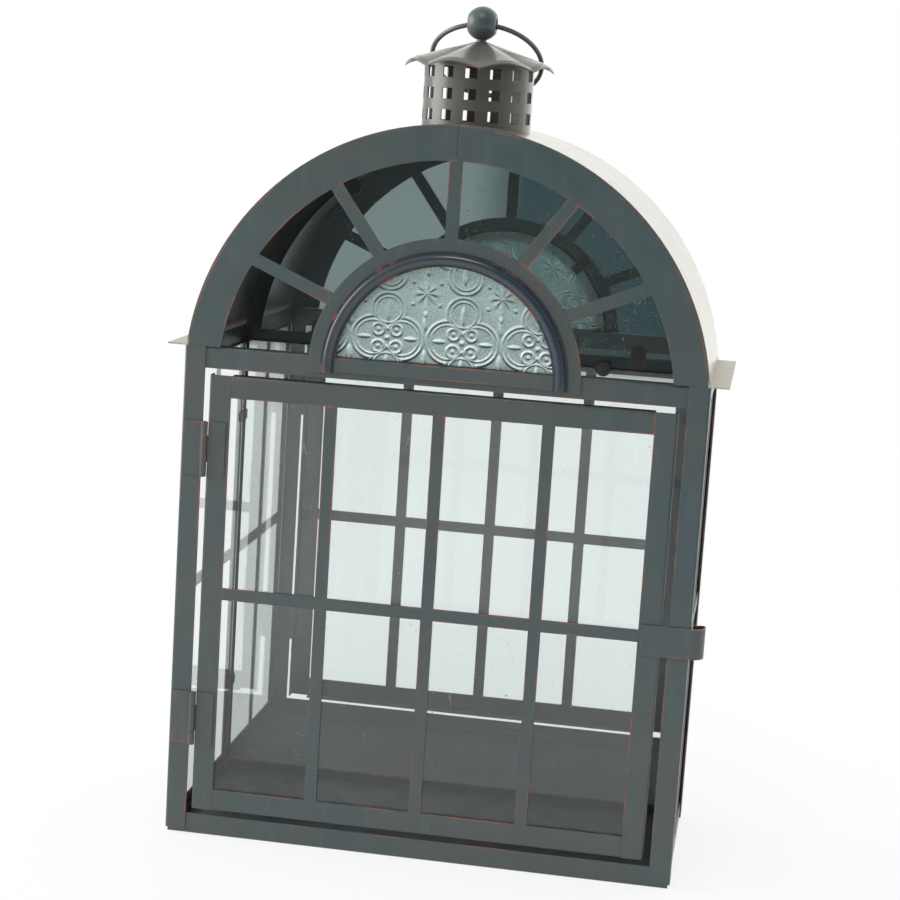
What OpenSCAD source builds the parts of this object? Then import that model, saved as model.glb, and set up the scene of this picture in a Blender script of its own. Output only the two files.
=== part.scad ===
// House-shaped lantern: a glazed case on four angle posts with a mirrored back, a barrel vault
// with an arched fanlight at the front, a perforated chimney under a fluted cap, and a ring.
// X runs across the front, Y to the back and Z up. The origin is on the table, below the middle.

/* [Case] */
// Width of the case over its corner posts
case_w = 340; // [310:1:380]
// Depth of the case over its corner posts
case_d = 150; // [130:1:200]
// Height of the case from the table to the eaves
case_h = 330; // [310:1:380]
// Thickness of the sheet steel
sheet = 1; // [0.8:0.1:1.2]
// Outside radius of a bend in the sheet
bend_r = 1.5; // [1.3:0.1:2]
// Width of each leg of the corner posts
post_w = 14; // [13:0.5:16]
// Height of the corner posts' lower ends above the table
post_lift = 3; // [2:0.5:4]
// Height of the base rails
base_rail_h = 14; // [10:0.5:16]
// Width of the ledge that the base rails turn inward
base_ledge = 10; // [8:0.5:11]
// Height of the transoms and the eave rails
top_rail_h = 14; // [12:0.5:18]
// Width of the ledge that the front transom turns inward
top_ledge = 10; // [8:0.5:14]
// Reach of the panels behind the legs of the posts
tuck = 8; // [5:0.5:9]
// Height of the floor pan's lip
pan_lip = 6; // [4:0.5:9]

/* [Glazing] */
// Thickness of the clear panes
pane_t = 2; // [1.8:0.1:3]
// Thickness of the pressed glass in the lunettes
pressed_t = 4; // [3:0.1:5]
// Distance that the side panes reach above the openings
pane_lap = 1.5; // [1:0.5:8]
// Width of the glazing bars
bar_w = 8.2; // [6:0.1:11]
// Height of the cross bar in the sides
side_cross_z = 165; // [120:1:230]
// Columns of panes in a side
side_cols = 2; // [2:1:4]
// Thickness of the mirrors
mirror_t = 3; // [2:0.5:4]
// Distance that each mirror laps over its edge of the back transom
mirror_lap = 2.5; // [1.5:0.5:3]
// Distance from the vault to the edge of the arched mirror
mirror_inset = 12; // [9:0.5:16]

/* [Door] */
// Gap between the door and the post on the hinge side
gap_hinge = 3.5; // [3.4:0.1:5]
// Gap between the door and the post on the catch side
gap_catch = 5; // [3:0.1:7]
// Gap above and below the door
gap_door_z = 4; // [2:0.1:6]
// Width of the door's frame bars
stile_w = 14.5; // [12:0.1:18]
// Depth of the inward leg of the door's frame bars
stile_leg = 9; // [6:0.1:12]
// Columns of panes in the door
door_cols = 4; // [3:1:5]
// Height of the cross bar in the door
door_cross_z = 167; // [120:1:220]

/* [Hinges and catch] */
// Height of a hinge
hinge_h = 36; // [26:1:44]
// Distance from the door's lower edge up to the lower hinge's middle
hinge_low = 63; // [40:1:90]
// Distance from the door's top edge down to the upper hinge's middle
hinge_high = 49; // [35:1:80]
// Width of a hinge leaf, measured from the pin
leaf_w = 14; // [10:0.1:15]
// Thickness of a hinge leaf
leaf_t = 0.8; // [0.6:0.1:1]
// Radius of the hinge knuckles
knuckle_r = 2.2; // [2:0.05:2.3]
// Radius of the hinge pins
pin_r = 0.9; // [0.7:0.05:1.1]
// Distance of the hinge axis in front of the case
hinge_out = 1.7; // [1.6:0.05:2]
// Height of the catch strap
catch_h = 20; // [14:0.5:26]
// Height of the catch strap's middle
catch_z = 165; // [120:1:220]
// Length of the catch strap on the door's stile
catch_root = 12.5; // [8:0.5:14]
// Thickness of the catch strap
catch_t = 0.8; // [0.6:0.1:1]
// Radius of the bend where the catch strap turns round the post
catch_r = 8; // [6:0.5:10]

/* [Vault and fanlights] */
// Distance from the eaves down to the centre of the vault
vault_drop = 18; // [8:1:30]
// Width of the flange that the vault turns out over the eaves
flange_w = 11.4; // [8:0.1:16]
// Width of the flat band round the fanlight
arch_w = 21.5; // [15:0.5:28]
// Outside radius of the lunette's flat band
lunette_r = 88.5; // [75:0.5:100]
// Width of the lunette's flat band
lunette_w = 8.5; // [7:0.1:12]
// Width of the lunette's round bezel
bezel_w = 9.5; // [7:0.1:12]
// Radius of the bezel's rounded front
bezel_round = 3.6; // [2.8:0.1:4.4]
// Distance from the eaves down to the lunette's centre
lunette_drop = 7.5; // [5:0.5:9]
// Distance from the eaves down to the lunette's feet
lunette_foot = 11; // [9:0.5:12]
// Width of the fanlight's radial bars
fan_bar_w = 8.5; // [6:0.1:11]
// Angle above the level of the tabs that hold the arched mirror
tab_turn = 52; // [40:1:80]
// Height of the point where the radial bars aim, above the eaves
fan_aim = 5; // [0:0.5:12]
// Angle of the low radial bars above the level
fan_low = 23; // [18:1:30]
// Angle of the high radial bars above the level
fan_high = 54; // [46:1:64]
// Radius of the vent under the chimney
vent_r = 31; // [24:0.5:34]

/* [Chimney and ring] */
// Outside radius of the chimney
chimney_r = 36; // [35:0.5:42]
// Height of the chimney above the crown of the vault
chimney_h = 41; // [40:0.5:50]
// Number of holes round the chimney
hole_cols = 14; // [10:1:18]
// Number of rows of holes
hole_rows = 3; // [2:1:3]
// Width of a chimney hole
hole_w = 7.8; // [5:0.1:9]
// Height of a chimney hole
hole_h = 7; // [4:0.1:9]
// Distance between the rows of holes
hole_pitch = 13.8; // [12:0.1:14]
// Distance from the chimney's top edge down to the middle of the first row
hole_top = 8; // [6:0.1:10]
// Radius of the cap at the tips of its flutes
cap_r = 49; // [46:0.5:56]
// Number of flutes round the cap
cap_lobes = 8; // [6:1:12]
// Fall of the cap from its hub to the tips
cap_fall = 16.4; // [12:0.1:20]
// Height of the flutes at the rim
cap_flute = 4; // [2:0.1:6]
// Turn of the cap on the chimney, in degrees
cap_turn = 8; // [0:1:22]
// Thickness of the cap
cap_t = 1; // [0.8:0.1:1.4]
// Radius of the flat hub of the cap
hub_r = 4; // [3.6:0.1:6]
// Radius of the ball
ball_r = 11; // [10:0.1:12]
// Distance from the ball's centre to the flats at its hole
ball_flat = 9.3; // [8.6:0.1:9.8]
// Radius of the hole that the ring passes through
ball_bore_r = 4.2; // [4.1:0.1:5]
// Length of the neck under the ball
neck_h = 0.8; // [0.5:0.1:3]
// Radius of the ring to the middle of its wire
ring_r = 37; // [36:0.5:42]
// Radius of the ring's wire
wire_r = 1.6; // [1.2:0.05:1.7]

/* [Hidden] */
$fn = 96;

// Clearances
fit_gap = 0.3;
pin_gap = 0.05;
cut = 5;
seam = 0.2;

// Case
opening_x = case_w / 2 - post_w;
opening_low = base_rail_h;
opening_high = case_h - top_rail_h;
tuck_x = opening_x + tuck;
tuck_y = case_d / 2 - post_w + tuck;
pane_face = 2 * sheet;
pane_low = bend_r;
pane_top = opening_high + pane_lap;
pan_x = case_w / 2 - pane_face - pane_t - 2 * fit_gap;
pan_y = case_d / 2 - pane_face - max(pane_t, mirror_t) - 2 * fit_gap;
// The bezel stands out at the front, so the case sits back by half of that
seat_y = (sheet + bezel_round) / 2;

// Door
door_x0 = -opening_x + gap_hinge;
door_x1 = opening_x - gap_catch;
door_z0 = opening_low + gap_door_z;
door_z1 = opening_high - gap_door_z;
hinge_x = -opening_x + gap_hinge / 2;
hinge_low_z = door_z0 + hinge_low;
hinge_high_z = door_z1 - hinge_high;

// Vault
vault_r = case_w / 2;
vault_z = case_h - vault_drop;
crown_z = vault_z + vault_r;
arch_r = vault_r - sheet;
arch_in = arch_r - arch_w;
flange_x = sqrt(pow(vault_r - sheet / 2, 2) - pow(vault_drop, 2));
lunette_z = case_h - lunette_drop;
bezel_r = lunette_r - lunette_w;
bezel_in = bezel_r - bezel_w;
mirror_r = arch_r - mirror_inset;
// Lap of the pressed glass behind the lunette's band
lunette_lap = 2;

// Chimney, cap, ball and ring
drum_top = crown_z + chimney_h;
screw_r = 1.45;
screw_hole_r = screw_r + 0.15;
cap_top = drum_top + cap_t + cap_fall * (chimney_r - hub_r) / (cap_r - hub_r) + pin_gap;
ball_z = cap_top + neck_h + ball_r;
// The wire bears on the side of the ball's hole where its curve just clears the hole's ends
ring_bear = ball_bore_r - wire_r - fit_gap - ring_r + sqrt(pow(ring_r, 2) - pow(ball_flat, 2));

// Clips
clip_t = 0.8;
clip_w = 7;
clip_reach = 8;
clip_edge = 1.5;
tab_w = 10.5;
tab_reach = 10;
hang_x = 0.265 * case_w;
stand_x = 0.335 * case_w;

steel = [0.25, 0.28, 0.28];
clear = [0.72, 0.86, 0.84, 0.45];
pressed = [0.6, 0.78, 0.74, 0.7];
silver = [0.62, 0.7, 0.68];

// Seats a piece over the origin
module seat() translate([0, seat_y, 0]) children();

// Places what is drawn for the front wall at each wall. Y runs inward from the wall's face.
module at_front() translate([0, -case_d / 2, 0]) children();
module at_back() rotate([0, 0, 180]) translate([0, -case_d / 2, 0]) children();
module at_right() rotate([0, 0, 90]) translate([0, -case_w / 2, 0]) children();
module at_left() rotate([0, 0, -90]) translate([0, -case_w / 2, 0]) children();

// Upright sheet of thickness t whose outline is drawn in X and Z, from depth y inward
module plate(y, t) translate([0, y + t, 0]) rotate([90, 0, 0]) linear_extrude(t) children();

// Bar along X whose section is drawn in Y and Z
module bar_x(length) rotate([90, 0, 90]) linear_extrude(length, center = true) children();

// Section of a bent angle with legs a and b, its outer corner at the origin
module angle_2d(a, b) {
    translate([bend_r, 0]) square([a - bend_r, sheet]);
    translate([0, bend_r]) square([sheet, b - bend_r]);
    translate([bend_r, bend_r])
        intersection() {
            difference() {
                circle(bend_r);
                circle(bend_r - sheet);
            }
            translate([-bend_r, -bend_r]) square(bend_r);
        }
}

// Part of a ring, of centre-line radius r and thickness t, from angle a0 to a1 (under 180)
module arc_2d(r, t, a0, a1) {
    far = 2 * r;
    mid = (a0 + a1) / 2;
    intersection() {
        difference() {
            circle(r + t / 2);
            circle(r - t / 2);
        }
        polygon([[0, 0], far * [cos(a0), sin(a0)], 2 * far * [cos(mid), sin(mid)], far * [cos(a1), sin(a1)]]);
    }
}

// Glazing bars that fill an opening: upright bars between equal panes and one cross bar
module bars_2d(x0, x1, z0, z1, cols, cross_z, over = 0) {
    pane = (x1 - x0 - (cols - 1) * bar_w) / cols;
    for (i = [1 : cols - 1])
        translate([x0 + i * pane + (i - 1) * bar_w, z0]) square([bar_w, z1 - z0]);
    translate([x0 - over, cross_z - bar_w / 2]) square([x1 - x0 + 2 * over, bar_w]);
}

// Clip that holds a pane: a finger over the pane and a foot beside its edge, turned with -X outward
module edge_clip(y0, root) {
    translate([0, y0 + pane_t, -clip_w / 2]) cube([clip_reach, clip_t, clip_w]);
    translate([-root, y0 - sheet, -clip_w / 2]) cube([root - fit_gap, pane_t + sheet + clip_t, clip_w]);
    translate([-fit_gap, y0 + pane_t, -clip_w / 2]) cube([fit_gap, clip_t, clip_w]);
}

module floor_pan() {
    color(steel)
        difference() {
            translate([-pan_x, -pan_y, sheet]) cube([2 * pan_x, 2 * pan_y, pan_lip]);
            translate([-pan_x + sheet, -pan_y + sheet, 2 * sheet])
                cube([2 * (pan_x - sheet), 2 * (pan_y - sheet), pan_lip]);
        }
}

// Base rail: an upright face behind the posts and a ledge for the panes and the pan
module base_rail(half) color(steel) bar_x(2 * half) translate([sheet, 0]) angle_2d(base_ledge, base_rail_h);
module base_rail_front() at_front() base_rail(case_w / 2 - bend_r);
module base_rail_back() at_back() base_rail(case_w / 2 - bend_r);
module base_rail_left() at_left() base_rail(case_d / 2 - sheet - base_ledge);
module base_rail_right() at_right() base_rail(case_d / 2 - sheet - base_ledge);

module corner_post(sx, sy) {
    color(steel)
        translate([sx * case_w / 2, sy * case_d / 2, post_lift])
            mirror([sx > 0 ? 1 : 0, 0, 0])
                mirror([0, sy > 0 ? 1 : 0, 0])
                    linear_extrude(case_h - post_lift) angle_2d(post_w, post_w);
}

// Transoms: an angle across the top of the front, whose ledge carries the pressed glass, and a flat
// bar across the back
module transom_front() {
    color(steel)
        at_front()
            bar_x(2 * tuck_x)
                translate([sheet, case_h]) mirror([0, 1]) angle_2d(top_ledge, top_rail_h);
}

module transom_back() {
    color(steel)
        at_back()
            plate(sheet, sheet)
                translate([-tuck_x, opening_high]) square([2 * tuck_x, top_rail_h]);
}

module eave_rail() {
    color(steel)
        plate(sheet, sheet)
            translate([-tuck_y, case_h - top_rail_h]) square([2 * tuck_y, top_rail_h]);
}

module side_bars() {
    open_y = case_d / 2 - post_w;
    color(steel)
        plate(sheet, sheet)
            bars_2d(-open_y, open_y, opening_low, opening_high, side_cols, side_cross_z, tuck);
}

module side_glass() {
    color(clear)
        plate(pane_face, pane_t)
            translate([-tuck_y, pane_low]) square([2 * tuck_y, pane_top - pane_low]);
}

// Clips in the four corners of both sides
module side_clips() {
    for (s = [-1, 1], e = [-1, 1], z = [0.2, 0.8])
        color(steel)
            rotate([0, 0, s * 90])
                translate([0, -case_w / 2, z * case_h])
                    mirror([e > 0 ? 1 : 0, 0, 0])
                        translate([-tuck_y, 0, 0]) edge_clip(pane_face, case_d / 2 - tuck_y - 2.5);
}

module back_panel() {
    color(steel)
        at_back()
            plate(sheet, sheet)
                translate([-tuck_x, opening_low]) square([2 * tuck_x, opening_high - opening_low]);
}

module back_mirror() {
    color(silver)
        at_back()
            plate(pane_face, mirror_t)
                translate([-tuck_x, pane_low]) square([2 * tuck_x, opening_high + mirror_lap - pane_low]);
}

// Half plane above a height, for outlines that stand on the transom
module above_2d(z) translate([-case_w, z]) square([2 * case_w, 2 * case_w]);

// Panel that closes the back of the vault and laps over the transom between the posts
module arch_panel() {
    color(steel)
        at_back()
            plate(0, sheet) {
                intersection() {
                    translate([0, vault_z]) circle(arch_r);
                    above_2d(case_h);
                }
                translate([-opening_x + fit_gap, case_h - top_rail_h / 2])
                    square([2 * (opening_x - fit_gap), top_rail_h / 2 + 0.01]);
            }
}

module arch_mirror() {
    color(silver)
        at_back()
            plate(pane_face, mirror_t)
                intersection() {
                    translate([0, vault_z]) circle(mirror_r);
                    above_2d(case_h - mirror_lap);
                }
}

// Arch band: two halves that meet in a seam over the middle bar
module arch_band() {
    color(steel)
        plate(0, sheet)
            intersection() {
                translate([0, vault_z])
                    difference() {
                        circle(arch_r);
                        circle(arch_in);
                        translate([-seam / 2, 0]) square([seam, vault_r]);
                    }
                above_2d(case_h);
            }
}

// Radial bars between the lunette and the arch
module fan_bars() {
    color(steel)
        for (a = [fan_low, fan_high, 90, 180 - fan_high, 180 - fan_low])
            plate(0, sheet)
                intersection() {
                    translate([0, case_h + fan_aim])
                        rotate(a) translate([0, -fan_bar_w / 2]) square([case_w, fan_bar_w]);
                    difference() {
                        translate([0, vault_z]) circle(arch_in);
                        translate([0, lunette_z]) circle(lunette_r);
                    }
                }
}

// Tab with a round end, drawn along X from its root
module tab_2d(reach) {
    translate([0, -tab_w / 2]) square([reach - tab_w / 2, tab_w]);
    translate([reach - tab_w / 2, 0]) circle(tab_w / 2);
}

// Tab that holds a mirror: a foot on the sheet at depth y, a riser beside the mirror's edge and a
// finger that laps over its face along +X
module mirror_tab(y, foot, reach) {
    face = pane_face + mirror_t;
    plate(face, clip_t) translate([-clip_t, 0]) tab_2d(reach + clip_t);
    translate([-clip_t, y, -tab_w / 2]) cube([clip_t, face - y + clip_t / 2, tab_w]);
    translate([-foot, y, -tab_w / 2]) cube([foot - clip_t / 2, clip_t, tab_w]);
}

// Tabs on the back transom that hang over the lower mirror and stand up over the arched one, and
// tabs on the arch panel
module mirror_tabs() {
    foot = top_rail_h - 2 * mirror_lap - 2 * fit_gap;
    color(steel)
        at_back() {
            for (s = [-1, 1]) {
                translate([s * hang_x, 0, opening_high + mirror_lap + fit_gap])
                    rotate([0, 90, 0]) mirror_tab(pane_face, foot, tab_w / 2 + 0.2);
                translate([s * stand_x, 0, case_h - mirror_lap - fit_gap])
                    rotate([0, -90, 0]) mirror_tab(pane_face, foot, tab_reach);
            }
            for (a = [tab_turn, 180 - tab_turn])
                translate([0, 0, vault_z])
                    rotate([0, -a, 0])
                        translate([mirror_r + fit_gap, 0, 0])
                            mirror([1, 0, 0]) mirror_tab(sheet, mirror_inset - fit_gap - 3, tab_reach);
        }
}

module lunette_band() {
    color(steel)
        plate(0, sheet)
            intersection() {
                translate([0, lunette_z])
                    difference() {
                        circle(lunette_r);
                        circle(bezel_r);
                    }
                above_2d(case_h - lunette_foot);
            }
}

// Bezel: a rolled bead that stands out from the band
module lunette_bezel() {
    color(steel)
        intersection() {
            translate([0, 0, lunette_z])
                rotate([90, 0, 0])
                    rotate_extrude()
                        translate([bezel_in, 0]) {
                            translate([0, -sheet]) square([bezel_w, 2 * sheet]);
                            intersection() {
                                translate([bezel_w / 2, sheet]) circle(bezel_round);
                                translate([0, sheet / 2]) square([bezel_w, 2 * bezel_round]);
                            }
                        }
            translate([-lunette_r, -lunette_r, case_h - lunette_foot + sheet])
                cube([2 * lunette_r, 2 * lunette_r, 2 * lunette_r]);
        }
}

module lunette_sill() {
    color(steel)
        plate(-sheet, 2 * sheet)
            intersection() {
                translate([0, lunette_z]) circle(bezel_in);
                translate([-bezel_in, case_h - lunette_foot + 1.5 * sheet])
                    square([2 * bezel_in, lunette_foot - 2 * sheet]);
            }
}

module lunette_glass() {
    color(pressed)
        plate(sheet, pressed_t)
            intersection() {
                translate([0, lunette_z]) circle(bezel_r - lunette_lap);
                above_2d(case_h);
            }
}

// Clips on the lunette's band, behind the pressed glass
module lunette_clips() {
    color(steel)
        for (a = [45, 135]) {
            plate(sheet + pressed_t, clip_t)
                translate([0, lunette_z])
                    rotate(a) translate([bezel_in + 2, -clip_w / 2])
                        square([lunette_r - clip_edge - bezel_in - 2, clip_w]);
            plate(sheet, pressed_t)
                translate([0, lunette_z])
                    rotate(a) translate([bezel_r - lunette_lap + fit_gap, -clip_w / 2])
                        square([lunette_w + lunette_lap - clip_edge - fit_gap, clip_w]);
        }
}

// Vault: one sheet rolled over the arches and turned out along both eaves
module vault_shell() {
    color(steel)
        difference() {
            rotate([90, 0, 0])
                linear_extrude(case_d, center = true) {
                    intersection() {
                        translate([0, vault_z])
                            difference() {
                                circle(vault_r);
                                circle(arch_r);
                            }
                        above_2d(case_h);
                    }
                    for (s = [0, 1])
                        mirror([s, 0])
                            translate([flange_x, case_h])
                                square([case_w / 2 + flange_w - flange_x, sheet]);
                }
            translate([0, 0, vault_z]) cylinder(r = vent_r, h = vault_r + cut);
        }
}

// Chimney: a drum that stands on the crown of the vault, pierced by rows of square holes
module chimney_drum() {
    first = drum_top - hole_top;
    color(steel)
        difference() {
            translate([0, 0, crown_z - cut]) cylinder(r = chimney_r, h = chimney_h + cut);
            translate([0, 0, crown_z - 2 * cut]) cylinder(r = chimney_r - sheet, h = chimney_h + 3 * cut);
            translate([0, 0, vault_z]) rotate([90, 0, 0]) cylinder(r = vault_r, h = case_d, center = true);
            for (i = [0 : hole_cols - 1], k = [0 : hole_rows - 1])
                rotate([0, 0, i * 360 / hole_cols])
                    translate([-hole_w / 2, -chimney_r - cut, first - k * hole_pitch - hole_h / 2])
                        cube([hole_w, 2 * cut, hole_h]);
        }
}

// Height of the cap's top below its hub, at a share f of the way to the rim and an angle a.
// The flutes are sharp along the low creases, round along the crests, and the rim curls down.
cap_steps = 12 * cap_lobes;
cap_shares = [0, 0.3, 0.6, 0.93, 1];
function crest(a) = abs(sin(a * cap_lobes / 2));
function cap_radius(f, a) = hub_r + f * (cap_r - hub_r - 2 * crest(a));
function cap_drop(f, a) = f * (cap_fall - cap_flute * crest(a)) + (f == 1 ? 1 : 0);
function cap_ring(f, down) = [for (i = [0 : cap_steps - 1]) let (a = i * 360 / cap_steps)
    [cap_radius(f, a) * sin(a), -cap_radius(f, a) * cos(a), -cap_drop(f, a) - down]];
// Distance from the ring's wire, t degrees round from the ball, to the cap at a lean below the level
function rest_gap(lean, t) = let (
    v = ring_bear + ring_r * (1 - cos(t)),
    y = v * cos(lean),
    r = norm([ring_r * sin(t), y]),
    a = atan2(ring_r * sin(t), -y) - cap_turn,
    f = min(1, max(0, (r - hub_r) / (cap_radius(1, a) - hub_r))))
    norm([max(0, r - cap_radius(1, a)), 0.88 * (ball_z - v * sin(lean) - cap_top + cap_drop(f, a))]);
// The ring leans back until it all but touches the cap
ring_lean = max([for (lean = [10 : 0.2 : 60])
    if (min([for (t = [-176 : 4 : 176]) if (abs(t) > 30) rest_gap(lean, t)]) > wire_r + fit_gap) lean]);
function hub_ring(r, down) = [for (i = [0 : cap_steps - 1]) let (a = i * 360 / cap_steps)
    [r * sin(a), -r * cos(a), -down]];

module chimney_cap() {
    tops = concat([hub_ring(screw_hole_r, 0)], [for (f = cap_shares) cap_ring(f, 0)]);
    bottoms = concat([for (k = [len(cap_shares) - 1 : -1 : 0]) cap_ring(cap_shares[k], cap_t)],
        [hub_ring(screw_hole_r, cap_t)]);
    rings = concat(tops, bottoms);
    n = cap_steps;
    m = len(rings);
    color([0.42, 0.43, 0.41])
        translate([0, 0, cap_top])
            rotate([0, 0, cap_turn])
                polyhedron(
                    [for (r = rings, p = r) p],
                    [for (j = [0 : m - 1], i = [0 : n - 1], t = [0, 1]) let (
                        a = j * n + i, b = j * n + (i + 1) % n,
                        c = ((j + 1) % m) * n + (i + 1) % n, d = ((j + 1) % m) * n + i)
                        t == 0 ? [a, b, c] : [a, c, d]]);
}

// Ball that tops the cap, cross-drilled for the ring and drilled from below for the screw
module finial_ball() {
    color(steel)
        difference() {
            translate([0, 0, ball_z]) {
                sphere(ball_r);
                translate([0, 0, -ball_r - neck_h]) cylinder(r = 3.3, h = ball_r / 2);
            }
            translate([0, 0, ball_z]) rotate([0, 90, 0]) cylinder(r = ball_bore_r, h = 3 * ball_r, center = true);
            for (s = [-1, 1])
                translate([s * (ball_flat + ball_r), 0, ball_z]) cube(2 * ball_r, center = true);
            translate([0, 0, cap_top - cut]) cylinder(r = screw_r + pin_gap, h = cut + 5);
        }
}

module finial_screw() {
    color(steel)
        translate([0, 0, cap_top - cap_t]) {
            translate([0, 0, -2.2]) cylinder(r = hub_r - 0.4, h = 2.2);
            cylinder(r = screw_r, h = cap_t + 4.5);
        }
}

// Ring through the ball, leaning back on the rim of the cap
module hanging_ring() {
    color([0.4, 0.42, 0.42])
        translate([0, 0, ball_z])
            rotate([-ring_lean, 0, 0])
                translate([0, ring_bear + ring_r, 0])
                    rotate_extrude() translate([ring_r, 0]) circle(wire_r);
}

// Hinge leaf on the +X side of the pin. Its knuckles stand at the shares in spans.
module hinge_leaf(z, spans) {
    plate_from = knuckle_r + fit_gap;
    color([0.34, 0.36, 0.35])
        translate([hinge_x, -case_d / 2, z - hinge_h / 2])
            difference() {
                union() {
                    translate([plate_from, -leaf_t, 0]) cube([leaf_w - plate_from, leaf_t, hinge_h]);
                    for (s = spans)
                        translate([0, 0, s[0] * hinge_h + (s[0] > 0 ? fit_gap / 2 : 0)])
                            linear_extrude((s[1] - s[0]) * hinge_h - (s[0] > 0 ? fit_gap / 2 : 0)
                                - (s[1] < 1 ? fit_gap / 2 : 0)) {
                                translate([0, -hinge_out]) circle(knuckle_r);
                                translate([0.5 * knuckle_r, -leaf_t]) square([knuckle_r + fit_gap, leaf_t]);
                            }
                }
                translate([0, -hinge_out, -cut]) cylinder(r = pin_r + pin_gap, h = hinge_h + 2 * cut);
            }
}
module post_leaf(z) translate([2 * hinge_x, 0, 0]) mirror([1, 0, 0]) hinge_leaf(z, [[0, 0.25], [0.75, 1]]);
module door_leaf(z) hinge_leaf(z, [[0.25, 0.75]]);
module hinge_pin(z) {
    color([0.45, 0.46, 0.44])
        translate([hinge_x, -case_d / 2 - hinge_out, z - hinge_h / 2 - 0.5]) cylinder(r = pin_r, h = hinge_h + 1);
}

module door_stile_hinge() {
    color(steel)
        translate([door_x0, -case_d / 2, door_z0])
            linear_extrude(door_z1 - door_z0) angle_2d(stile_w, stile_leg);
}

module door_stile_catch() {
    color(steel)
        translate([door_x1, -case_d / 2, door_z0])
            mirror([1, 0, 0]) linear_extrude(door_z1 - door_z0) angle_2d(stile_w, stile_leg);
}

module door_rail(up) {
    color(steel)
        at_front()
            translate([(door_x0 + door_x1) / 2, 0, up > 0 ? door_z1 : door_z0])
                mirror([0, 0, up])
                    bar_x(door_x1 - door_x0 - 2 * stile_w) angle_2d(stile_leg, stile_w);
}

module door_bars() {
    color(steel)
        at_front()
            plate(0, sheet)
                bars_2d(door_x0 + stile_w, door_x1 - stile_w, door_z0 + stile_w, door_z1 - stile_w,
                    door_cols, door_cross_z);
}

module door_glass() {
    color(clear)
        at_front()
            plate(sheet, pane_t)
                translate([door_x0 + bend_r, door_z0 + bend_r])
                    square([door_x1 - door_x0 - 2 * bend_r, door_z1 - door_z0 - 2 * bend_r]);
}

// Clips on the door's stiles: a finger over the pane and a foot along the stile's leg
module door_clips() {
    back = sheet + pane_t;
    for (x = [door_x0, door_x1], z = [0.15, 0.5, 0.85])
        color(steel)
            translate([x, -case_d / 2 + back, door_z0 + z * (door_z1 - door_z0) - clip_w / 2])
                mirror([x > 0 ? 1 : 0, 0, 0])
                    translate([sheet, 0, 0]) {
                        cube([clip_reach, clip_t, clip_w]);
                        cube([clip_t, stile_leg - back - 0.5, clip_w]);
                    }
}

// Catch: a spring strap on the door that laps the post and grips it from the side
module catch_strap() {
    x0 = door_x1 - catch_root;
    turn_x = case_w / 2 + 1;
    mid_r = catch_r - catch_t / 2;
    lip_r = 1.9;
    lip_turn = 110;
    leg = 3;
    leg_x = turn_x + mid_r;
    leg_y = -fit_gap - catch_t / 2 + mid_r;
    lip_x = leg_x - lip_r;
    lip_run = (lip_x + lip_r * cos(lip_turn) - case_w / 2 - 2 * fit_gap - catch_t / 2) / sin(lip_turn);
    color(steel)
        translate([0, -case_d / 2, catch_z - catch_h / 2])
            linear_extrude(catch_h) {
                translate([x0, -fit_gap - catch_t]) square([turn_x - x0 + 0.01, catch_t]);
                translate([x0, -fit_gap - 0.01]) square([catch_root - 2, fit_gap + 0.01]);
                translate([turn_x, leg_y]) arc_2d(mid_r, catch_t, -90, 0);
                translate([leg_x - catch_t / 2, leg_y - 0.01]) square([catch_t, leg + 0.02]);
                translate([lip_x, leg_y + leg]) {
                    arc_2d(lip_r, catch_t, 0, lip_turn);
                    rotate(lip_turn)
                        translate([lip_r - catch_t / 2, -0.01]) square([catch_t, lip_run]);
                }
            }
}

seat() floor_pan();
seat() base_rail_front();
seat() base_rail_back();
seat() base_rail_left();
seat() base_rail_right();
seat() corner_post(-1, -1);  // post_front_left
seat() corner_post(1, -1);  // post_front_right
seat() corner_post(-1, 1);  // post_back_left
seat() corner_post(1, 1);  // post_back_right
seat() transom_front();
seat() transom_back();
seat() at_left() eave_rail();  // eave_rail_left
seat() at_right() eave_rail();  // eave_rail_right
seat() at_left() side_bars();  // side_bars_left
seat() at_right() side_bars();  // side_bars_right
seat() at_left() side_glass();  // side_glass_left
seat() at_right() side_glass();  // side_glass_right
seat() side_clips();
seat() back_panel();
seat() back_mirror();
seat() arch_panel();
seat() arch_mirror();
seat() mirror_tabs();
seat() at_front() arch_band();  // arch_band_front
seat() at_front() fan_bars();  // fan_bars_front
seat() at_front() lunette_band();  // lunette_band_front
seat() at_front() lunette_bezel();  // lunette_bezel_front
seat() at_front() lunette_sill();  // lunette_sill_front
seat() at_front() lunette_glass();  // lunette_glass_front
seat() at_front() lunette_clips();
seat() vault_shell();
seat() chimney_drum();
seat() chimney_cap();
seat() finial_ball();
seat() finial_screw();
seat() hanging_ring();
seat() post_leaf(hinge_high_z);  // hinge_leaf_post_top
seat() post_leaf(hinge_low_z);  // hinge_leaf_post_low
seat() hinge_pin(hinge_high_z);  // hinge_pin_top
seat() hinge_pin(hinge_low_z);  // hinge_pin_low
seat() door_stile_hinge();
seat() door_stile_catch();
seat() door_rail(1);  // door_rail_top
seat() door_rail(0);  // door_rail_low
seat() door_bars();
seat() door_glass();
seat() door_clips();
seat() door_leaf(hinge_high_z);  // hinge_leaf_door_top
seat() door_leaf(hinge_low_z);  // hinge_leaf_door_low
seat() catch_strap();
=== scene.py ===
import math

import bpy
import numpy as np
from mathutils import Matrix, Vector


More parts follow.
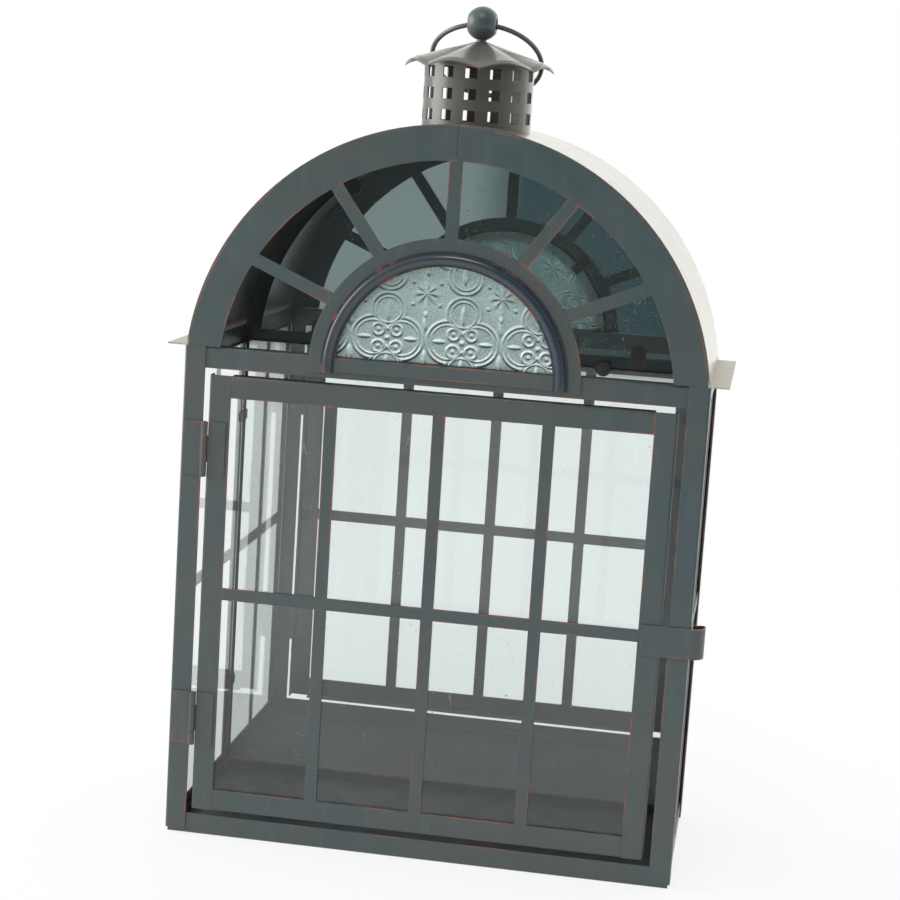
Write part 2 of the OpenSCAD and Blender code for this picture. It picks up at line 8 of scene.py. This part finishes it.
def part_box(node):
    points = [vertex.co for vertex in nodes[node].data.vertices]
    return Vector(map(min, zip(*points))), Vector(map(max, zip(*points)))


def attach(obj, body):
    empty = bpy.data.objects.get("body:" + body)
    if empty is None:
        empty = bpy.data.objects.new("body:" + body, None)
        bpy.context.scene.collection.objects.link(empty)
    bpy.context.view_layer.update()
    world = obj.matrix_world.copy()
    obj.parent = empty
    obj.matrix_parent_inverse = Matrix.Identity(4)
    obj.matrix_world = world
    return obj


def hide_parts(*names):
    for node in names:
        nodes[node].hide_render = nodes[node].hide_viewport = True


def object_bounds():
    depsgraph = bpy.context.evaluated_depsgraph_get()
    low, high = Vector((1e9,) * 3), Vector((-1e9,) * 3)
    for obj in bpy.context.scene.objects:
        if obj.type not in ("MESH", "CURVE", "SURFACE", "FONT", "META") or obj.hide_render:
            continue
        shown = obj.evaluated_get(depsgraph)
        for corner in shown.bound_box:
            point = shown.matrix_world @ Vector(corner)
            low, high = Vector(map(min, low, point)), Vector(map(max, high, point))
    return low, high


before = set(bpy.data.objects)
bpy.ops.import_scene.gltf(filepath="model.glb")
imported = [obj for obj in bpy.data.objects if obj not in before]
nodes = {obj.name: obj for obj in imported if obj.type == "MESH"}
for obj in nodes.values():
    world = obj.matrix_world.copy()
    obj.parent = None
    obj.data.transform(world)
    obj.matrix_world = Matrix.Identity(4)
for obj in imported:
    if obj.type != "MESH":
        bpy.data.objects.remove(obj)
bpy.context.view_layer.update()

# Camera, fitted to the photograph
CAMERA_AT = (0.204964, -1.381603, 0.498366)
CAMERA_RIGHT = Vector((0.985250, 0.159163, 0.062849))
CAMERA_DOWN = Vector((0.087610, -0.153678, -0.984229))
CAMERA_LENS = 83.8763
CAMERA_SENSOR = 36


def make_camera():
    data = bpy.data.cameras.new("camera")
    data.lens = CAMERA_LENS
    data.sensor_width = CAMERA_SENSOR
    data.sensor_fit = "HORIZONTAL"
    data.clip_start = 0.01
    data.clip_end = 60
    camera = bpy.data.objects.new("camera", data)
    bpy.context.scene.collection.objects.link(camera)
    right = CAMERA_RIGHT.normalized()
    up = -(CAMERA_DOWN - CAMERA_DOWN.dot(right) * right).normalized()
    back = right.cross(up)
    turn = Matrix((right, up, back)).transposed().to_4x4()
    camera.matrix_world = Matrix.Translation(CAMERA_AT) @ turn
    bpy.context.scene.camera = camera


make_camera()


class Graph:
    """A node tree, with short calls for the nodes that the looks here use."""

    def __init__(self, tree):
        self.tree = tree
        tree.nodes.clear()

    def put(self, socket, value):
        """Links value to a socket if it is an output, and otherwise sets it."""
        if isinstance(value, bpy.types.NodeSocket):
            self.tree.links.new(value, socket)
        elif socket.type == "RGBA" and len(value) == 3:
            socket.default_value = (*value, 1)
        else:
            socket.default_value = value

    def node(self, kind, inputs=None, **settings):
        node = self.tree.nodes.new("ShaderNode" + kind)
        for name, value in settings.items():
            setattr(node, name, value)
        for key, value in (inputs or {}).items():
            self.put(node.inputs[key], value)
        return node

    def coords(self):
        return self.node("TexCoord").outputs["Object"]

    def scaled(self, vector, scale):
        return self.node("Mapping", {"Vector": vector, "Scale": scale}).outputs[0]

    def split(self, vector):
        return self.node("SeparateXYZ", {0: vector}).outputs

    def normal(self, kind):
        return self.node("NewGeometry").outputs[kind]

    def noise(self, vector, scale, detail, rough, distortion=0.0):
        node = self.node("TexNoise", {"Vector": vector, "Scale": scale, "Detail": detail,
                                      "Roughness": rough, "Distortion": distortion})
        return node.outputs["Fac"]

    def math(self, kind, a, b=0.0, clamp=False):
        return self.node("Math", {0: a, 1: b}, operation=kind, use_clamp=clamp).outputs[0]

    def remap(self, value, low, high, to_low=0.0, to_high=1.0):
        node = self.node("MapRange", {"Value": value, "From Min": low, "From Max": high,
                                      "To Min": to_low, "To Max": to_high})
        return node.outputs[0]

    def mix(self, factor, a, b):
        return self.node("Mix", {0: factor, 6: a, 7: b}, data_type="RGBA").outputs[2]

    def vector(self, kind, a, b):
        return self.node("VectorMath", {0: a, 1: b}, operation=kind).outputs


class Surface(Graph):
    """A material with one Principled shader."""

    def __init__(self, name):
        self.mat = bpy.data.materials.new(name)
        self.mat.use_nodes = True
        super().__init__(self.mat.node_tree)
        self.out = self.node("OutputMaterial")
        self.shader = self.node("BsdfPrincipled")
        self.put(self.out.inputs["Surface"], self.shader.outputs[0])

    def set(self, name, value):
        self.put(self.shader.inputs[name], value)

    def edges(self, radius):
        """About 1 on sharp edges and 0 on flat faces."""
        bevel = self.node("Bevel", {"Radius": radius}, samples=6)
        turned = self.vector("DOT_PRODUCT", bevel.outputs[0], self.normal("Normal"))["Value"]
        return self.remap(turned, 0.995, 0.93)

    def bump(self, height, strength, distance):
        node = self.node("Bump", {"Strength": strength, "Distance": distance, "Height": height})
        self.set("Normal", node.outputs[0])


# Paint: the brown of rubbed edges, how far in from an edge it reaches, and the top of the flanges
RUB = (0.33, 0.082, 0.048)
RUB_REACH = 0.0018
FLANGE_TOP = 0.3312


def paint(name, cool, warm, rough, wear=1.0, seed=0.0, streak=0.35, dust=None):
    """Aged dark paint on steel: cloudy cool and warm tones, fine speckle, edges rubbed to brown,
    and dust of the given tone on the flanges over the eaves."""
    g = Surface(name)
    at = g.vector("ADD", g.coords(), (seed, 0.3 * seed, 0.7 * seed))[0]
    clouds = g.remap(g.noise(at, 9, 4, 0.6), 0.36, 0.66)
    base = g.mix(clouds, cool, warm)
    streaks = g.remap(g.noise(g.scaled(at, (160, 160, 22)), 1.0, 3, 0.6), 0.55, 0.8)
    base = g.mix(g.math("MULTIPLY", streaks, streak), base, tuple(1.7 * c for c in cool))
    specks = g.remap(g.noise(at, 900, 2, 0.5), 0.66, 0.74)
    base = g.mix(g.math("MULTIPLY", specks, 0.3), base, tuple(2.6 * c + 0.02 for c in cool))
    patches = g.remap(g.noise(at, 30, 4, 0.7), 0.49, 0.58)
    edge = g.math("MULTIPLY", g.edges(RUB_REACH), patches)
    base = g.mix(g.math("MULTIPLY", edge, wear, clamp=True), base, RUB)
    gloss = g.remap(g.noise(at, 60, 4, 0.6), 0.3, 0.7, rough - 0.2 * streak, rough + 0.28 * streak)
    if dust:
        settled = g.remap(g.split(g.coords())["Z"], FLANGE_TOP + 0.004, FLANGE_TOP)
        patchy = g.remap(g.noise(at, 55, 3, 0.6), 0.25, 0.55, 0.6, 0.9)
        settled = g.math("MULTIPLY", settled, patchy)
        base = g.mix(settled, base, dust)
        gloss = g.math("ADD", gloss, g.math("MULTIPLY", settled, 0.35), clamp=True)
    g.set("Base Color", base)
    g.set("Roughness", gloss)
    g.set("Specular IOR Level", 0.6)
    g.bump(g.noise(at, 420, 3, 0.6), 0.05, 0.0002)
    return g.mat


GLASS_EDGE = (0.20, 0.66, 0.58)
GLASS_IOR = 1.46


def glass(name, tint, rough=0.0, density=6.0, haze=0.0, milk=0.0):
    """Glass that is green along its thickness, with smears as haze rises, and cloudy as milk does."""
    g = Surface(name)
    g.set("Base Color", tint)
    g.set("Transmission Weight", 1.0 - milk)
    g.set("Subsurface Weight", 0.45 if milk else 0.0)
    g.set("Subsurface Radius", (0.9, 1.0, 1.0))
    g.set("Subsurface Scale", 0.006)
    g.set("IOR", GLASS_IOR)
    at = g.coords()
    if haze:
        smears = g.noise(g.scaled(at, (1, 1, 0.35)), 14, 5, 0.7, 0.6)
        g.set("Roughness", g.remap(smears, 0.5, 0.75, rough, rough + haze))
    else:
        g.set("Roughness", rough)
    g.bump(g.noise(at, 16, 1, 0.4), 0.05, 0.002)
    volume = g.node("VolumeAbsorption", {"Color": GLASS_EDGE, "Density": density})
    g.put(g.out.inputs["Volume"], volume.outputs[0])
    return g


def metal(name, color, rough, scale):
    """Dull bare steel with fine scratches."""
    g = Surface(name)
    scratch = g.noise(g.scaled(g.coords(), scale), 1.0, 3, 0.6)
    g.set("Base Color", g.mix(g.remap(scratch, 0.3, 0.7), color, tuple(0.55 * c for c in color)))
    g.set("Metallic", 1.0)
    g.set("Roughness", g.remap(scratch, 0.3, 0.7, rough - 0.08, rough + 0.12))
    g.bump(scratch, 0.12, 0.0001)
    return g.mat


MIRROR_MARK = (0.60, 0.68, 0.66)
MIRROR_EDGE = (0.78, 0.86, 0.83)


def mirror(name, tint, haze, worn=0.0):
    """Aged mirror: clear silvering with dust and worn specks, more of them where worn is higher,
    and pale ground edges."""
    g = Surface(name)
    at = g.coords()
    wear = g.remap(g.noise(at, 7, 4, 0.65), 0.48, 0.68)
    specks = g.remap(g.noise(at, 620, 2, 0.5), 0.69 - worn, 0.72 - worn)
    specks = g.math("MULTIPLY", specks, g.remap(wear, 0, 1, 0.15, 1.0), clamp=True)
    scuffs = g.noise(g.scaled(at, (1, 1, 0.4)), 190, 3, 0.7, 1.2)
    scuffs = g.remap(scuffs, 0.67 - worn, 0.73 - worn)
    marks = g.math("MAXIMUM", specks, g.math("MULTIPLY", scuffs, wear))
    marks = g.math("MULTIPLY", marks, 0.8)
    facing = g.math("ABSOLUTE", g.split(g.normal("True Normal"))["Y"])
    edge = g.math("LESS_THAN", facing, 0.5)
    g.set("Base Color", g.mix(edge, g.mix(marks, tint, MIRROR_MARK), MIRROR_EDGE))
    dull = g.math("MAXIMUM", marks, g.math("MULTIPLY", edge, 0.95))
    g.set("Metallic", g.math("SUBTRACT", 1.0 - haze, g.math("MULTIPLY", dull, 1.0 - haze)))
    g.set("Roughness", g.math("ADD", 0.015, g.math("MULTIPLY", dull, 0.5)))
    return g.mat


frame_paint = paint("frame_paint", (0.053, 0.078, 0.083), (0.075, 0.084, 0.077), 0.36, seed=0.4)
bezel_paint = paint("bezel_paint", (0.020, 0.046, 0.068), (0.050, 0.045, 0.050), 0.22,
                    wear=1.2, seed=2.1)
roof_paint = paint("roof_paint", (0.084, 0.092, 0.087), (0.104, 0.103, 0.090), 0.29,
                   wear=0.5, seed=3.7, streak=0.08, dust=(0.47, 0.44, 0.35))
ring_paint = paint("ring_paint", (0.085, 0.090, 0.088), (0.105, 0.100, 0.092), 0.30,
                   wear=0.6, seed=5.3)
hinge_paint = paint("hinge_paint", (0.066, 0.080, 0.079), (0.080, 0.081, 0.074), 0.34,
                    wear=0.8, seed=6.9)
clip_paint = paint("clip_paint", (0.024, 0.030, 0.030), (0.030, 0.030, 0.028), 0.45,
                   wear=0.0, seed=8.2)
pin_steel = metal("pin_steel", (0.36, 0.35, 0.33), 0.36, (700, 700, 60))
pane_glass = glass("pane_glass", (0.98, 0.998, 0.992), haze=0.015).mat
low_silver = mirror("low_mirror", (0.95, 1.0, 0.99), 0.25)
arch_silver = mirror("arch_mirror", (0.82, 0.95, 0.94), 0.13, worn=0.03)

PRESSED_TONE = (0.82, 1.0, 0.965)
PRESSED_GRAIN = (0.34, 0.50, 0.475)
# Painted shade for relief that faces down, and painted light for relief that faces up
PRESSED_SHADE = (0.07, 0.13, 0.125)
PRESSED_LIGHT = (0.90, 1.0, 0.98)
# Heights where the painted white highlight of the lower part begins and where it is full
PAINTED_HIGHLIGHT_FADE = (0.372, 0.345)


def pressed():
    """Cloudy glass with painted shade where its relief faces down and painted light where it faces
    up, and a painted white highlight low on the pane, standing in for the light from the ledge."""
    g = glass("pressed_glass", PRESSED_TONE, rough=0.05, density=3.0, milk=0.5)
    tilt = g.split(g.normal("Normal"))["Z"]
    height = g.split(g.coords())["Z"]
    grain = g.remap(g.noise(g.coords(), 1100, 1, 0.5), 0.44, 0.56)
    # Masks by slope: painted light on relief that faces up, painted shade on relief that faces down
    up_relief_painted_light = g.remap(tilt, 0.08, 0.34)
    down_relief_painted_shade = g.remap(tilt, -0.06, -0.34)
    # Painted white highlight on up-facing relief low on the pane
    white = g.math("MULTIPLY", up_relief_painted_light, g.remap(height, *PAINTED_HIGHLIGHT_FADE))
    color = g.mix(g.math("MULTIPLY", grain, 0.6), PRESSED_TONE, PRESSED_GRAIN)
    # Painted shade where the relief faces down, painted light where it faces up
    color = g.mix(g.math("MULTIPLY", down_relief_painted_shade, 0.95), color, PRESSED_SHADE)
    color = g.mix(g.math("MULTIPLY", up_relief_painted_light, 0.9), color, PRESSED_LIGHT)
    # The painted white highlight low on the pane, which also lets less light through
    g.set("Base Color", g.mix(white, color, (1.0, 1.0, 1.0)))
    g.set("Transmission Weight", g.remap(white, 0, 1, 0.5, 0.0))
    return g.mat


pressed_glass = pressed()

# The material of each node, by the start of its name. All others have the frame's paint.
LOOKS = [
    (("vault_shell", "chimney_"), roof_paint),
    (("hanging_ring",), ring_paint),
    (("finial_screw", "hinge_pin_"), pin_steel),
    (("hinge_leaf_", "mirror_tabs"), hinge_paint),
    (("side_clips", "door_clips", "lunette_clips"), clip_paint),
    (("back_mirror",), low_silver),
    (("arch_mirror",), arch_silver),
    (("side_glass_", "door_glass"), pane_glass),
    (("lunette_glass_",), pressed_glass),
    (("lunette_bezel_",), bezel_paint),
]


def look_of(name):
    for starts, material in LOOKS:
        if name.startswith(starts):
            return material
    return frame_paint


for name, obj in nodes.items():
    obj.data.materials.clear()
    obj.data.materials.append(look_of(name))


# Pattern of the pressed glass, in millimetres: how often it repeats across and up, the middle of
# one quatrefoil, and how far each lobe's centre lies from that middle, with the lobe's radius
PATTERN_STEP = (48.5, 60.0)
PATTERN_AT = (10.7, 345.0)
SIDE_LOBE = (9.5, 14.2)
TALL_LOBE = (18.0, 11.6)
# Curls in the quatrefoil: how far out they lie, and the height and radius of each
CURL_OUT = 5.8
CURLS = ((5.2, 3.6), (-5.8, 3.8))
# Flower between four quatrefoils: reach of its upright petals and of the others
PETAL_REACH = (11.0, 8.0)


def ridge(distance, width):
    """A rounded ridge where the distance is 0."""
    return np.exp(-(distance / width) ** 2)


def leaf(x, z, length, width):
    """1 inside a leaf that lies along z, with its middle at the origin."""
    d = np.abs(x) / width + (z / length) ** 2
    return np.clip(1.4 * (1 - d), 0, 1)


def folded(value, step):
    """Distance from the nearest of the middles that lie a step apart."""
    return (value + step / 2) % step - step / 2


def pressed_height(x, z):
    """Relief of the pressed pattern, from 0 to about 1, at x and z in metres."""
    x, z = 1000 * x, 1000 * z
    u = folded(x - PATTERN_AT[0], PATTERN_STEP[0])
    w = folded(z - PATTERN_AT[1], PATTERN_STEP[1])
    out, up = np.abs(u), np.abs(w)
    side = np.hypot(out - SIDE_LOBE[0], w) - SIDE_LOBE[1]
    tall = np.hypot(u, up - TALL_LOBE[0]) - TALL_LOBE[1]
    lobes = np.minimum(side, tall)
    height = 0.95 * ridge(lobes + 0.7, 0.75) + 0.8 * ridge(lobes + 3.3, 0.6)

    # In the lobes: stippled ground, curls, a leaf in each tall lobe and a wing in each side lobe
    waves = np.cos(4.6 * u + 0.8 * np.sin(1.7 * w)) * np.cos(4.6 * w + 0.7 * np.sin(1.9 * u))
    within = 0.42 * (0.5 + 0.5 * waves)
    for curl_up, curl_r in CURLS:
        curl = np.hypot(out - CURL_OUT, w - curl_up)
        within = within + 0.85 * ridge(curl - curl_r, 0.7) + 0.6 * ridge(curl, 1.1)
    within = within + 0.9 * leaf(u, up - 17, 7.5, 2.0) + 0.9 * leaf(w, out - 15.0, 5.0, 1.6)
    height = height + np.where(lobes < -4.2, within, 0) + 0.9 * ridge(np.hypot(u, w), 1.3)

    # Between the lobes: a flower with buds round it, and a spindle where two quatrefoils meet
    fu, fw = out - PATTERN_STEP[0] / 2, up - PATTERN_STEP[1] / 2
    far = np.hypot(fu, fw)
    turn = np.arctan2(fw, fu)
    petals = np.abs(np.cos(4 * turn)) ** 1.6
    reach = np.where(np.abs(np.sin(turn)) > 0.92, *PETAL_REACH)
    flower = petals * np.clip(1.25 - far / reach, 0, 1) * np.clip(far / 1.5, 0, 1)
    between = 0.95 * flower + 0.8 * ridge(far, 1.1)
    between = between + 0.9 * leaf(fu, np.abs(fw) - 13.2, 2.4, 1.8)
    between = between + 0.8 * ridge(np.hypot(np.abs(fu) - 8.8, np.abs(fw) - 7.0), 1.0)
    between = between + 0.8 * leaf(fu, up - 11.5, 6.5, 2.2)
    height = height + np.where(lobes > 0.8, between, 0)

    # Slight unevenness of the pour
    return np.clip(height, 0, 1.25) + 0.05 * np.sin(0.21 * x + 1.3) * np.cos(0.17 * z)


# Distance between the mesh points of the pressed pane
PRESSED_STEP = 0.0006
# Depth of its relief on each face, and the height of relief that reaches the face of its node
RELIEF_OUTER = 0.0015
RELIEF_INNER = 0.0005
RELIEF_LEVEL = 1.2
# How much larger the arc's radius is than half the node's width, and how far inside the arc's ends
# the pane's sides stand
ARC_GROWTH = 0.0002
SIDE_INSET = 0.0009


def make_pressed(name, node):
    """Half-round pane with the pattern pressed into both faces, deeper into the outer one."""
    low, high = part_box(node)
    radius = 0.5 * (high[0] - low[0]) + ARC_GROWTH
    half = radius - SIDE_INSET
    cols = int(round(2 * half / PRESSED_STEP)) + 1
    rows = int(round((high[2] - low[2]) / PRESSED_STEP)) + 1
    xs = np.linspace(-half, half, cols)
    tops = high[2] - radius + np.sqrt(radius ** 2 - xs ** 2)
    shares = np.linspace(0, 1, rows)[:, None]
    grid_x = np.repeat(xs[None, :], rows, axis=0)
    grid_z = low[2] + shares * (tops[None, :] - low[2])
    sink = RELIEF_LEVEL - pressed_height(grid_x, grid_z)
    front = np.stack([grid_x, low[1] + RELIEF_OUTER * sink, grid_z], axis=2).reshape(-1, 3)
    back = np.stack([grid_x, high[1] - RELIEF_INNER * sink, grid_z], axis=2).reshape(-1, 3)
    outer = np.arange(rows * cols).reshape(rows, cols)
    inner = outer + rows * cols
    quads = np.stack([outer[:-1, :-1], outer[:-1, 1:], outer[1:, 1:], outer[1:, :-1]], axis=2)
    quads = quads.reshape(-1, 4)
    faces = quads.tolist() + (quads[:, ::-1] + rows * cols).tolist()
    smooth = len(faces)
    for rim, under in ((outer[0], inner[0]), (outer[::-1, 0], inner[::-1, 0]),
                       (outer[-1, ::-1], inner[-1, ::-1]), (outer[:, -1], inner[:, -1])):
        faces += np.stack([rim[:-1], under[:-1], under[1:], rim[1:]], axis=1).tolist()
    mesh = bpy.data.meshes.new(name)
    mesh.from_pydata(np.concatenate([front, back]).tolist(), [], faces)
    mesh.polygons.foreach_set("use_smooth", [i < smooth for i in range(len(faces))])
    mesh.update()
    obj = bpy.data.objects.new(name, mesh)
    bpy.context.scene.collection.objects.link(obj)
    obj.data.materials.append(pressed_glass)
    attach(obj, "case")
    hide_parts(node)


make_pressed("pressed_pane_front", "lunette_glass_front")

# Sheet edges: a small round on every edge catches the light and shows the seams
EDGE_ROUND = 0.0002
SOFTENED = (
    "post_", "transom_", "base_rail_", "eave_rail_", "side_bars_", "arch_band", "fan_bars",
    "lunette_band", "door_stile", "door_rail", "door_bars", "back_panel", "arch_panel", "mirror_tabs",
)


def soften(obj):
    weld = obj.modifiers.new("weld", "WELD")
    weld.merge_threshold = 0.00001
    bevel = obj.modifiers.new("bevel", "BEVEL")
    bevel.width = EDGE_ROUND
    bevel.segments = 2
    bevel.limit_method = "ANGLE"
    bevel.angle_limit = math.radians(40)
    bevel.use_clamp_overlap = True


for name, obj in nodes.items():
    if name.startswith(SOFTENED):
        soften(obj)

# Tones of the surround in reflections, by the turn in degrees from straight in front to the right
FRONT_TONES = [
    (-180, (1.0, 1.0, 1.0)),
    (-80, (0.95, 0.95, 0.94)),
    (-48, (0.60, 0.61, 0.60)),
    (-28, (0.24, 0.27, 0.265)),
    (-7.7, (0.21, 0.245, 0.24)),
    (-7.3, (0.030, 0.052, 0.060)),
    (50, (0.04, 0.055, 0.06)),
    (84, (0.60, 0.60, 0.58)),
    (104, (0.96, 0.96, 0.94)),
    (180, (1.0, 1.0, 1.0)),
]
# Point on the floor under the arched mirror, from which the floor's tones are seen
TONES_FROM = (0.016, 0.070, 0)
# Distances along Y from that point where the floor begins to have those tones and has them fully
TONES_FADE = (-2.25, -2.7)


def front_tones(g, vector):
    """Tone of the surround in the direction of a vector over the floor, and the vector's Y."""
    parts = g.split(vector)
    turn = g.math("ARCTAN2", parts["X"], g.math("MULTIPLY", parts["Y"], -1.0))
    ramp = g.node("ValToRGB", {0: g.remap(turn, -math.pi, math.pi)})
    stops = ramp.color_ramp.elements
    while len(stops) < len(FRONT_TONES):
        stops.new(0.5)
    for stop, (degrees, tone) in zip(stops, FRONT_TONES):
        stop.position = degrees / 360 + 0.5
        stop.color = (*tone, 1)
    return ramp.outputs["Color"], parts["Y"]


# Stage: pale floor and a white surround, which is grey and dark in front, as reflections show it
FLOOR_HALF = 6.0
FLOOR_GAP = 0.0002
# Distances from the origin over which the floor's own shade fades out, and how much of the floor
# glows at the first of them
SHADE_FADE = (0.3, 0.9)
GLOW_NEAR = 0.82


def make_floor():
    mesh = bpy.data.meshes.new("floor")
    corners = [(x * FLOOR_HALF, y * FLOOR_HALF, 0) for x, y in ((-1, -1), (1, -1), (1, 1), (-1, 1))]
    mesh.from_pydata(corners, [], [(0, 1, 2, 3)])
    floor = bpy.data.objects.new("floor", mesh)
    floor.location.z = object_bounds()[0][2] - FLOOR_GAP
    bpy.context.scene.collection.objects.link(floor)
    g = Surface("floor")
    g.set("Base Color", (0.88, 0.88, 0.88))
    g.set("Roughness", 0.9)
    at = g.coords()
    far = g.node("VectorMath", {0: at}, operation="LENGTH").outputs["Value"]
    tone, along = front_tones(g, g.vector("SUBTRACT", at, TONES_FROM)[0])
    path = g.node("LightPath").outputs
    unseen = g.math("SUBTRACT", 1.0, path["Is Camera Ray"])
    before = g.math("MULTIPLY", g.remap(along, *TONES_FADE), unseen)
    glow = g.node("Emission", {"Color": g.mix(before, (1, 1, 1), tone)})
    mirrored = g.math("MAXIMUM", path["Is Glossy Ray"], path["Is Transmission Ray"])
    shown = g.math("MAXIMUM", path["Is Camera Ray"], mirrored)
    # Near the object some of the shaded floor is mixed in, so that its shadow shows
    share = g.math("MULTIPLY", shown, g.remap(far, *SHADE_FADE, GLOW_NEAR, 1.0))
    mix = g.node("MixShader", {0: share, 1: g.shader.outputs[0], 2: glow.outputs[0]})
    g.put(g.out.inputs["Surface"], mix.outputs[0])
    mesh.materials.append(g.mat)


def make_world():
    world = bpy.data.worlds.new("surround")
    bpy.context.scene.world = world
    world.use_nodes = True
    g = Graph(world.node_tree)
    path = g.node("LightPath").outputs
    mirrored = g.math("MAXIMUM", path["Is Glossy Ray"], path["Is Transmission Ray"])
    tone = front_tones(g, g.node("TexCoord").outputs["Generated"])[0]
    tones = g.node("Background", {"Color": tone})
    lit = g.node("Background", {"Color": (0.92, 0.97, 1.0), "Strength": 0.40})
    white = g.node("Background", {"Color": (1, 1, 1), "Strength": 1.0})
    unseen = g.node("MixShader", {0: mirrored, 1: lit.outputs[0], 2: tones.outputs[0]})
    shown = g.node("MixShader", {0: path["Is Camera Ray"], 1: unseen.outputs[0], 2: white.outputs[0]})
    g.node("OutputWorld", {"Surface": shown.outputs[0]})


# Lamps: name, place, target, size, watts, colour, and whether reflections show them
LAMPS = [
    ("back_panel", (0.5, 1.8, 0.9), (0, 0, 0.35), (3.4, 2.2), 25.5, (1.0, 0.955, 0.86), True),
    ("left_panel", (-1.9, -0.2, 0.9), (0, 0, 0.3), (1.5, 1.3), 31, (1.0, 0.99, 0.95), True),
    ("right_panel", (1.9, 0.6, 0.8), (0, 0, 0.3), (1.4, 1.2), 14, (1.0, 0.97, 0.90), False),
    ("top_panel", (-0.2, 0.2, 1.9), (0, 0, 0.3), (1.2, 1.2), 6, (1, 1, 1), False),
    ("glint", (-0.1, -0.95, 1.9), (0, 0, 0.36), (0.55, 0.25), 8, (0.88, 0.97, 1.0), True),
    ("front_fill", (-1.5, -1.9, 0.5), (0, 0, 0.25), (1.2, 1.0), 11, (0.95, 1.0, 0.99), False),
]


def make_lamp(name, place, target, size, power, color, glossy):
    data = bpy.data.lights.new(name, "AREA")
    data.shape = "RECTANGLE"
    data.size, data.size_y = size
    data.energy = power
    data.color = color
    lamp = bpy.data.objects.new(name, data)
    lamp.location = place
    lamp.rotation_euler = (Vector(target) - Vector(place)).to_track_quat("-Z", "Y").to_euler()
    lamp.visible_camera = False
    lamp.visible_transmission = False
    lamp.visible_glossy = glossy
    bpy.context.scene.collection.objects.link(lamp)


make_world()
make_floor()
for lamp in LAMPS:
    make_lamp(*lamp)

bpy.context.scene.view_settings.view_transform = "Standard"
